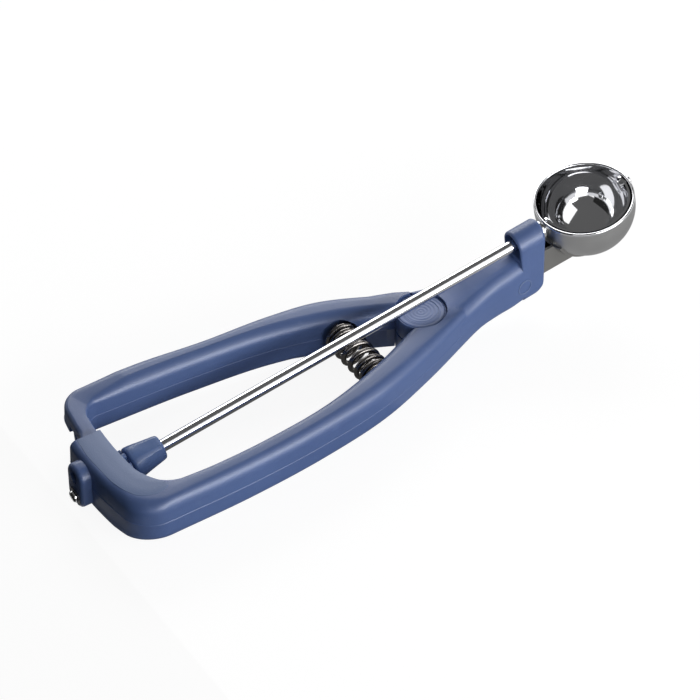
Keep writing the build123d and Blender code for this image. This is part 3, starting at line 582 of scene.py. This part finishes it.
# Frame handle: tail, near arm, neck and head in one moulding. Pairs go inner then outer, or the
# tail's value and what the arm adds to it, or where a change starts and how long it takes.
frameHandle = {
    "height": 17.4,
    "tailRadii": (124.0, 136.4),
    "cornerRadii": (13.0, 12.0),
    "edgeY": (-23.4, -32.9),
    "endY": 10.0,
    "innerArm": [(-80, -22.7), (-50, -19.0), (-25.5, -11.6), (-8.2, -4.4), (2, -0.5), (12.0, 2.0)],
    "outerArm": [(-90, -32.8), (-60, -30.8), (-30, -26.0), (-8, -18.7), (12.5, -10.3)],
    "counts": (36, 24, 130),                # rows on the tail, on the corner and on the arm
    "easeRows": (6, 30.0),                  # tail to arm, counted from the corner's start
    "rounding": 4.3,
    "tailRounding": 2.3,
    "growing": (8.0, 18.0),                 # tail's outer rounding to the arm's, by distance in Y
    "plateRounding": 0.7,                   # the tail's top keeps a crisp inner edge
    "footRounding": (0.6, 3.4),
    "lowRounding": 4.0,
    "crown": (0.05, 0.35),
    "draft": 0.3,
    "bellyDrop": 3.0,
    "belly": (-56.3, 32.3),                 # by the sum of the edges' Y: full across the tail
    "ridge": 0.17,
    "parting": 8.7,
}
inner, outer = barEdges(frameHandle)
tailRows, cornerRows = frameHandle["counts"][:2]
row = np.arange(len(inner))
fade = eased(ramp(row, tailRows + frameHandle["easeRows"][0], frameHandle["easeRows"][1]))
innerRound = (frameHandle["plateRounding"]
              + (frameHandle["rounding"] - frameHandle["plateRounding"]) * fade)
outerRound = (frameHandle["tailRounding"]
              + (frameHandle["rounding"] - frameHandle["tailRounding"])
              * eased(ramp(-outer[:, 1], *frameHandle["growing"])))
footRound = frameHandle["footRounding"][0] + frameHandle["footRounding"][1] * fade
belly = ramp(inner[:, 1] + outer[:, 1], *frameHandle["belly"]) * (row < tailRows + cornerRows)
handle = skin("frameHandle", mouldedSections(
    inner, outer, -frameHandle["bellyDrop"] * belly, frameHandle["height"],
    (outerRound, innerRound, footRound * footFade(inner[:, 0]), frameHandle["lowRounding"]),
    crown=frameHandle["crown"][0] + frameHandle["crown"][1] * fade, draft=frameHandle["draft"],
    ridge=frameHandle["ridge"], parting=frameHandle["parting"]))

neck = {
    "x": (2.3, 8, 12.5, 16, 21, 29, 36, 43),
    "half": (13.4, 11.9, 10.4, 9.4, 8.2, 6.9, 6.3, 5.5),
    "low": (0, 0, 0.2, 0.9, 1.8, 2.2, 2.6, 3.7),
    "high": (17.4, 17.4, 17.7, 18.2, 19.3, 21.0, 22.0, 22.9),
    "farTrim": (1.1, 1.0, 0.5, 0, 0, 0, 0, 0),          # off the far side, beside the knuckle
    "rounding": 4.6, "crown": 0.5, "draft": 0.2, "rows": 60,
}
neckRows = np.stack([neck[key] for key in ("x", "half", "low", "high", "farTrim")], -1)
neckX, neckHalf, neckLow, neckHigh, farTrim = curveThrough(neckRows, neck["rows"]).T
handle = trimmed(handle, skin("neck", mouldedSections(
    np.stack([neckX, neckHalf - farTrim], -1), np.stack([neckX, -neckHalf], -1),
    neckLow, neckHigh, (neck["rounding"],) * 4, crown=neck["crown"], draft=neck["draft"])), "UNION")

head = {
    "rearX": 41.0, "frontX": 49.1, "half": 5.5, "lowRear": 3.2, "lowFront": 4.6, "lean": 3.2,
    "hoodRise": 5.35, "corner": 3.8, "footRound": 3.8,
    "rearShares": (0.0, 0.015, 0.04, 0.08), "rearTuck": (0.6, 0.3, 0.1, 0.0),
    "middleShares": (0.3, *np.linspace(0.45, 0.9, 14)),
    "frontShares": (0.9, 0.93, 0.96, 0.985, 1.0), "frontTuck": (0.0, 0.12, 0.35, 0.7, 1.2),
    "rearTuckZ": (20.0, 4.0),               # the rear rim is drawn in only above this height
    "archPoints": 33, "footPoints": 9,
}


# The head's sections, each share of the way from rear to front: half a circle over flat sides
# with a rounded foot. The top leans back, the foot lifts round the front corner, and both rims
# are drawn in by their tucks.
def headGrid():
    arch = np.linspace(0, np.pi, head["archPoints"])
    feet = np.concatenate([np.linspace(start * np.pi, (start + 0.5) * np.pi, head["footPoints"])
                           for start in (1.0, 1.5)])
    shares = [*head["rearShares"], *head["middleShares"], *head["frontShares"][1:]]
    share = np.array(shares)[:, None]
    xTop = (head["rearX"] - head["lean"]) * (1 - share) + head["frontX"] * share
    xLow = head["rearX"] * (1 - share) + head["frontX"] * share
    past = np.clip(xLow - head["frontX"] + head["corner"], 0, head["corner"])
    low = head["lowRear"] + (head["lowFront"] - head["lowRear"]) * share
    low = low + (head["corner"] - np.sqrt(head["corner"] ** 2 - past**2))
    springZ = rodHeight(xTop) + head["hoodRise"] - head["half"]
    footSide = np.repeat([-1.0, 1.0], head["footPoints"]) * (head["half"] - head["footRound"])
    across = np.append(head["half"] * np.cos(arch), footSide + head["footRound"] * np.cos(feet))
    height = np.concatenate([springZ + head["half"] * np.sin(arch),
                             low + head["footRound"] * (1 + np.sin(feet))], 1)
    x = xLow + (xTop - xLow) * ramp(height, low, springZ + head["half"] - low)
    rear = np.interp(share, head["rearShares"], head["rearTuck"]) * ramp(height, *head["rearTuckZ"])
    front = np.interp(share, head["frontShares"], head["frontTuck"])
    tuck = 1 - (rear + front) / head["half"]
    upper = np.maximum(height - springZ, 0)
    return np.stack([x, across * tuck, height - upper * (1 - tuck)], -1)


handle = trimmed(handle, skin("head", headGrid()), "UNION")

# the boss behind the tail: a block with round corners, whose rear rim is inset at each depth
boss = {"half": 5.0, "low": -1.0, "high": 16.0, "face": -140.2, "round": 4.2, "points": 64,
        "depth": (0.0, 0.25, 0.8, 1.4, 7.0), "inset": (1.4, 0.7, 0.18, 0.0, 0.0)}
angle = circleAngles(boss["points"])
depth, inset = np.array(boss["depth"])[:, None], np.array(boss["inset"])[:, None]
cornerY = np.sign(np.cos(angle)) * (boss["half"] - boss["round"])
cornerZ = np.where(np.sin(angle) >= 0, boss["high"] - boss["round"], boss["low"] + boss["round"])
reach = boss["round"] - inset
bossGrid = np.stack([boss["face"] + depth + 0 * angle, cornerY + reach * np.cos(angle),
                     cornerZ + reach * np.sin(angle)], -1)
handle = trimmed(handle, skin("boss", bossGrid), "UNION")
knuckleBase = [(0.0, 8.4), (0.35, 8.85), (0.9, 9.0), (8.4, 9.0)]        # heights and radii
handle = trimmed(handle, turned("knuckleBase", knuckleBase, pivot, upright), "UNION")
print("frame handle's forms joined")

handle = cutAway(handle, {
    "recess": (aboutPivot, {"low": 8.4, "high": 30, "radius": 9.2, "segments": 128}),
    "slot": (ringBlock, {"innerRadius": 123.7, "outerRadius": 131.2, "startY": -20.0, "endY": 30.0,
                         "low": 8.2, "high": 15.9}),
    "pinionSpace": (aboutRod, {"start": -202.3, "end": -188.0, "radius": 6.4}),
    "bushBore": (aboutRod, {"start": -213.5, "end": -200.0, "radius": 3.45}),
    "springPocket": (aboutSpring, {"startY": -14.2, "endY": 0.0}),
    "frontBore": (aboutRod, {"start": -60.0, "end": -15.0, "radius": 3.6}),
    "pinHeadSeat": (aboutPivot, {"low": -1.0, "high": 1.6, "radius": 4.55}),
})

# an arched tunnel for the rod through the head: stations on the rod and radii, over a flat floor
tunnel = {"rows": ((-36.0, 4.8), (-31.0, 4.5), (-25.5, 3.4)), "floor": -4.2, "archPoints": 25}
arch = np.linspace(0, np.pi, tunnel["archPoints"])
tunnelRows = [onRod(station, np.append(radius * np.sin(arch), [tunnel["floor"]] * 2)[:, None],
                    np.append(radius * np.cos(arch), [-radius, radius])[:, None])
              for station, radius in tunnel["rows"]]
handle = trimmed(handle, skin("tunnel", np.stack(tunnelRows)))

bracketPocket = {"stations": (-30.0, -10.0), "half": 4.25, "lifts": (-16.7, -6.1)}
half = bracketPocket["half"]
low, high = bracketPocket["lifts"]
corners = ((-half, low), (half, low), (half, high), (-half, high))
pocketRows = [[onRod(station, lift, across) for across, lift in corners]
              for station in bracketPocket["stations"]]
handle = trimmed(handle, skin("bracketPocket", np.array(pocketRows)))

# an oval keyhole in the boss, from before its face to a depth
keyhole = {"x": (-141.0, -133.6), "z": 11.6, "half": 1.9, "rise": 2.6, "points": 48}
angle = circleAngles(keyhole["points"])
keyholeRows = [np.stack([x + 0 * angle, keyhole["half"] * np.cos(angle),
                         keyhole["z"] + keyhole["rise"] * np.sin(angle)], -1) for x in keyhole["x"]]
handle = trimmed(handle, skin("keyhole", np.stack(keyholeRows)))
finished(handle, "frame", "handleBlue", "frame_handle", slot="blue_plastic", crease=32.0)
print("frame handle finished:", len(handle.data.polygons), "faces")

# tail plate: the flat field on the tail's top, drawn in a paler, greyer blue as painted sheen, the
# light its flat top catches
tailPlate = {
    "outerEdge": [(-133.0, 9.7), (-133.9, 0.4), (-133.6, -6.7), (-133.0, -14.6), (-131.5, -19.8),
                  (-129.4, -23.6), (-126.4, -25.8), (-123.4, -26.6), (-120.9, -26.5),
                  (-119.2, -26.1), (-118.3, -25.4), (-118.0, -24.7)],
    "innerRadius": 124.25, "cornerRadius": 13.2, "edgeY": -23.55, "endY": 9.7,
    "innerArm": [(-110.0, -23.6), (-109.0, -23.6)], "counts": (34, 60, 6),
    "lastX": -117.9,
    "bend": (-0.5, -1.5), "bendRows": 26,   # the inner edge's end bends out to the outer edge
    "low": 16.6, "high": 17.47, "rounding": 0.10, "steps": 4, "rows": 72,
}
innerEdge = tailPath(tailPlate["innerRadius"], tailPlate["cornerRadius"], tailPlate["edgeY"],
                     tailPlate["endY"], tailPlate["innerArm"], tailPlate["counts"])
innerEdge = innerEdge[innerEdge[:, 0] < tailPlate["lastX"]]
row = np.arange(len(innerEdge))
bending = ramp(row, len(innerEdge) - tailPlate["bendRows"], tailPlate["bendRows"])[:, None] ** 2
innerEdge = innerEdge + bending * np.array(tailPlate["bend"])
reach = chordLengths(innerEdge)
at = np.linspace(0, reach[-1], tailPlate["rows"])
plateInner = np.stack([np.interp(at, reach, innerEdge[:, axis]) for axis in range(2)], -1)
plateOuter = curveThrough(tailPlate["outerEdge"], tailPlate["rows"])
plate = skin("tailPlate", mouldedSections(
    plateInner, plateOuter, tailPlate["low"], tailPlate["high"], (tailPlate["rounding"],) * 4,
    draft=0.0, crown=0.0, steps=tailPlate["steps"]))
finished(plate, "frame", "plateBlue", slot="blue_plastic", crease=50.0)

# a fine ring left by the mould on the head's near side, drawn in the paler blue as a painted
# highlight on it
headMark = {"x": 40.2, "z": 12.0, "radius": 2.8, "wire": 0.22, "standOut": 0.02,
            "points": 72, "sides": 8}
angle = circleAngles(headMark["points"])
markX = headMark["x"] + headMark["radius"] * np.cos(angle)
markZ = headMark["z"] + headMark["radius"] * np.sin(angle)
wall = np.maximum(head["half"], np.interp(markX, neckX, neckHalf))
markPath = np.stack([markX, -wall - headMark["standOut"], markZ], -1)
mark = tube("headMark", markPath, headMark["wire"], headMark["sides"], ring=True)
finished(mark, "frame", "plateBlue", slot="blue_plastic")
print("tail plate and head mark made")

# lever handle: crossbar, far arm and knuckle; pairs are as in the frame handle
leverHandle = {
    "tailRadii": (124.3, 130.9),
    "cornerRadii": (6.0, 9.5),
    "edgeY": (23.9, 34.2),
    "endY": -4.2,
    "innerArm": [(-80, 21.8), (-50, 18.3), (-28, 12.5), (-8.2, 4.4), (0.0, 1.0)],
    "outerArm": [(-98, 33.7), (-72, 30.7), (-45, 28.8), (-30, 26.4), (-8, 16.8), (2.0, 11.5)],
    "counts": (40, 24, 130),
    "easeRows": (8, 34.0),
    "slopeX": (-122.0, -104.0),             # the top climbs between these
    "topZ": (15.6, 17.4),
    "shownY": (8.5, 4.0),                   # plain inside the slot, and full beyond it
    "rounding": 4.2,
    "flatRounding": 0.8,
    "topOuterRounding": (0.3, 1.5, 2.2),    # in the slot, more beyond it, more on the arm
    "footRounding": 3.4,
    "crown": (0.02, 0.33),
    "draft": 0.3,
    "ridge": 0.17,
    "parting": 8.7,
}
inner, outer = barEdges(leverHandle)
middle = (inner + outer) / 2
row = np.arange(len(inner))
easeStart = leverHandle["counts"][0] + leverHandle["easeRows"][0]
fade = eased(ramp(row, easeStart, leverHandle["easeRows"][1]))
shown = ramp(middle[:, 1], *leverHandle["shownY"])
innerRound = (leverHandle["flatRounding"]
              + (leverHandle["rounding"] - leverHandle["flatRounding"]) * fade)
slotRound, shownRound, armRound = leverHandle["topOuterRounding"]
lever = skin("leverHandle", mouldedSections(
    inner, outer, 0.0, np.interp(middle[:, 0], leverHandle["slopeX"], leverHandle["topZ"]),
    (slotRound + shownRound * shown + armRound * fade, innerRound,
     leverHandle["footRounding"] * footFade(inner[:, 0]), leverHandle["footRounding"]),
    crown=leverHandle["crown"][0] + leverHandle["crown"][1] * fade,
    draft=leverHandle["draft"] * shown, ridge=leverHandle["ridge"] * shown,
    parting=leverHandle["parting"]))
lever = cutAway(lever, {
    "clearBelow": (ringBlock, {"innerRadius": 123.7, "outerRadius": 140.0, "startY": -12.0,
                               "endY": 40.0, "low": -2.0, "high": 8.5}),
    "clearPinion": (ringBlock, {"innerRadius": 123.7, "outerRadius": 140.0, "startY": -12.0,
                                "endY": 21.2, "low": -2.0, "high": 11.6}),
    "clearWasher": (aboutPivot, {"low": -2, "high": 9.2, "radius": 9.1, "segments": 128}),
    "clearTop": (aboutPivot, {"low": 16.2, "high": 30, "radius": 9.3, "segments": 128}),
    "leverPocket": (aboutSpring, {"startY": 0.0, "endY": 14.2}),
})

# the knuckle's disc and the cap in it: rows of height and radius, then a turned top
knuckle = {
    "radius": 9.0, "top": 16.6, "rings": 7, "ringDepth": 0.03, "dish": 0.2, "segments": 128,
    "wall": [(9.2, 8.6), (9.3, 8.95), (9.6, 9.0), (15.9, 9.0), (16.25, 8.92), (16.42, 8.75)],
    "groove": [(16.42, 8.52), (16.2, 8.42), (16.42, 8.32)],
    "discTop": (8.2, 6.25, 24),             # outer radius, inner radius and rows
    "capWall": [(15.2, 6.2), (16.34, 6.2), (16.42, 6.15)],
    "capTop": (6.1, 0.05, 60),
}


# height falls from top by dish times (1 less (radius / full radius) squared), and by ringDepth
# times (1 less a cosine of the radius), so it is dished and has rings
def turnedTop(outerRadius, innerRadius, count):
    radius = np.linspace(outerRadius, innerRadius, count)
    share = radius / knuckle["radius"]
    dished = knuckle["top"] - knuckle["dish"] * (1 - share**2)
    ringed = knuckle["ringDepth"] * (1 - np.cos(share * knuckle["rings"] * 2 * np.pi))
    return np.stack([dished - ringed, radius], -1).tolist()


discProfile = knuckle["wall"] + knuckle["groove"] + turnedTop(*knuckle["discTop"])
disc = turned("knuckleDisc", discProfile, pivot, upright, knuckle["segments"])
lever = trimmed(lever, disc, "UNION")
lever = cutAway(lever, {
    "capSeat": (aboutPivot, {"low": 13.6, "high": 18, "radius": 6.25, "segments": 128}),
    "bushSeat": (aboutPivot, {"low": 9.0, "high": 13.7, "radius": 3.68}),
})
finished(lever, "lever", "handleBlue", "lever_handle", slot="blue_plastic", crease=32.0)
capProfile = knuckle["capWall"] + turnedTop(*knuckle["capTop"])
cap = turned("pivotCap", capProfile, pivot, upright, knuckle["segments"])
finished(cap, "lever", "handleBlue", "pivot_cap", slot="blue_plastic")

# rack teeth under the crossbar: trapezoids spaced by angle about the pivot
rack = {"teeth": 6, "circle": 212, "first": -0.5, "radii": (124.4, 130.8),
        "base": 2.0, "tip": 0.8, "tipZ": 8.95, "rootZ": 11.7}
toothWidths = np.array([-rack["base"], -rack["tip"], rack["tip"], rack["base"]]) / 2
toothHeights = [rack["rootZ"], rack["tipZ"], rack["tipZ"], rack["rootZ"]]
for index in range(rack["teeth"]):
    angle = np.pi - (index + rack["first"]) * 2 * np.pi / rack["circle"]
    outward = np.array([np.cos(angle), np.sin(angle), 0])
    beside = np.array([np.sin(angle), -np.cos(angle), 0])
    section = np.outer(toothWidths, beside), np.outer(toothHeights, upright)
    tooth = np.stack([outward * radius + section[0] + section[1] for radius in rack["radii"]])
    finished(skin("rackTooth" + str(index + 1), tooth), "lever", "handleBlue", slot="blue_plastic")
print("lever handle finished:", len(lever.data.polygons), "faces")

# drive rod: stations from the bowl's centre, and radii
driveRod = {
    "end": [(-212.8, 1.6), (-212.68, 1.85), (-212.35, 2.16), (-212.2, 2.2)],
    "groove": [(-211.75, 2.2), (-211.7, 2.1), (-211.66, 1.65),
               (-210.99, 1.65), (-210.95, 2.1), (-210.9, 2.2)],
    "shaft": (-205.0, -16.6, 24),           # first station, last station and rows
    "radius": 2.2,
    "tenon": [(-16.59, 1.4), (-14.8, 1.4)],
    "segments": 128,
}
shaft = [(station, driveRod["radius"]) for station in np.linspace(*driveRod["shaft"])]
rodProfile = driveRod["end"] + driveRod["groove"] + shaft + driveRod["tenon"]
rod = turned("driveRod", rodProfile, bowlCentre, rodDirection, driveRod["segments"])
finished(rod, "rod", "rodSteel", "drive_rod", slot="polished_steel")

knob = {
    "profile": [(-202.0, 5.8), (-201.8, 6.0), (-190.35, 6.0), (-190.3, 4.2), (-190.0, 4.4),
                (-189.8, 5.4), (-189.4, 5.9), (-188.8, 6.1), (-187.4, 6.1), (-185.5, 5.95),
                (-183.0, 5.6), (-180.5, 5.2), (-178.6, 4.9), (-177.7, 4.65), (-177.2, 4.2),
                (-177.0, 3.6), (-176.95, 2.6)],
    "teeth": 8, "toothDepth": 0.42, "toothSteep": 1.7, "teethEnd": -190.32,
    "flats": 6, "flatDepth": 0.925, "flatsFrom": (-189.5, -183.0), "turn": 0.35,
    "segments": 192,
}


# gear teeth behind the knob: radius less a held cosine; rounded flats that grow to its front
def knobShape(station, angle):
    wave = 0.5 - knob["toothSteep"] * np.cos(knob["teeth"] * angle)
    teeth = 1 - knob["toothDepth"] * np.clip(wave, 0, 1)
    sector = 2 * np.pi / knob["flats"]
    within = (angle + knob["turn"]) % sector - sector / 2
    flat = np.minimum(1.0, knob["flatDepth"] / np.cos(within))
    grow = np.interp(station, knob["flatsFrom"], (0.0, 1.0))
    return np.where(station < knob["teethEnd"], teeth, 1 + (flat - 1) * grow)


# the knob takes the lighter copy of the blue: painted light
pinionKnob = turned("knob", knob["profile"], bowlCentre, rodDirection, knob["segments"], knobShape)
finished(pinionKnob, "rod", "knobBlue", "pinion_knob", slot="blue_plastic", crease=38.0)
print("rod and knob finished")

# return spring: a helix whose end turns lie close, from one post to the other
spring = {
    **springSeat, "reach": 13.25, "turns": 8.0, "coilRadius": 5.05, "wire": 0.98,
    "closing": 0.3, "phase": 0.6, "points": 440, "sides": 14,
    "settled": 11.0,
}
t = np.linspace(0, 1, spring["points"])
angle = 2 * np.pi * spring["turns"] * t + spring["phase"]
climb = t - spring["closing"] * np.sin(2 * np.pi * t) / (2 * np.pi)
springPath = np.stack([spring["x"] + spring["coilRadius"] * np.cos(angle),
                       spring["reach"] * (2 * climb - 1),
                       spring["z"] + spring["coilRadius"] * np.sin(angle)], -1)
coil = finished(tube("returnSpring", springPath, spring["wire"], spring["sides"]),
                None, "springSteel", "return_spring", slot="spring_steel")
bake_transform(coil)

# bowl: half sphere and band turned in one profile, satin outside and bright inside
bowl = {
    "radius": 18.0, "wall": 1.0, "rise": 3.4, "rim": 0.5,
    "lowest": -89.3,                        # degrees; the skin closes the last of the sphere
    "outerBand": (1.2, 2.4), "innerBand": 1.5,          # heights of rows above the sphere
    "rows": 60, "rimRows": 13, "segments": 160,
}
low = np.linspace(np.radians(bowl["lowest"]), 0, bowl["rows"])
rimAngle = np.linspace(0, np.pi, bowl["rimRows"])
outsideRows = np.stack([bowl["radius"] * np.sin(low), bowl["radius"] * np.cos(low)], -1)
bandRows = np.array([(height, bowl["radius"]) for height in bowl["outerBand"]])
rimRows = np.stack([bowl["rise"] - bowl["rim"] + bowl["rim"] * np.sin(rimAngle),
                    bowl["radius"] - bowl["rim"] + bowl["rim"] * np.cos(rimAngle)], -1)
insideRadius = bowl["radius"] - bowl["wall"]
insideRows = np.stack([insideRadius * np.sin(low[::-1]), insideRadius * np.cos(low[::-1])], -1)
profile = np.concatenate([outsideRows, bandRows, rimRows, [(bowl["innerBand"], insideRadius)],
                          insideRows])
bowlPiece = turned("bowlShell", profile, bowlCentre, rodUp, bowl["segments"])
finished(bowlPiece, "frame", ("bowlSatin", "mirrorSteel"), "bowl", slot="polished_steel")
# faces come row by row, then the first row's fan and the last row's; the rim starts the inside
faceRow = np.append(np.arange(len(profile) - 1), [0, len(profile)]).repeat(bowl["segments"])
inside = (faceRow >= len(outsideRows) + len(bandRows) - 1).astype(np.int32)
bowlPiece.data.polygons.foreach_set("material_index", inside)
bowlPiece.data.update()
print("spring and bowl finished")

# the nodes that show as they are
nodeFinishes = {
    "satinSteel": ("spring_post_frame", "spring_post_lever", "bowl_bracket", "bracket_pin",
                   "pivot_pin"),
    "rodSteel": ("rod_collar",),
    "mirrorSteel": ("scraper_blade", "scraper_rivet", "scraper_tip_pin"),
    "springSteel": ("pivot_clip",),
    "shadeBlue": ("front_bush", "rear_bush", "pivot_bush", "pivot_washer"),
}
for finish, names in nodeFinishes.items():
    for name in names:
        nodes[name].data.materials.clear()
        nodes[name].data.materials.append(finishes[finish])
print("nodes dressed")
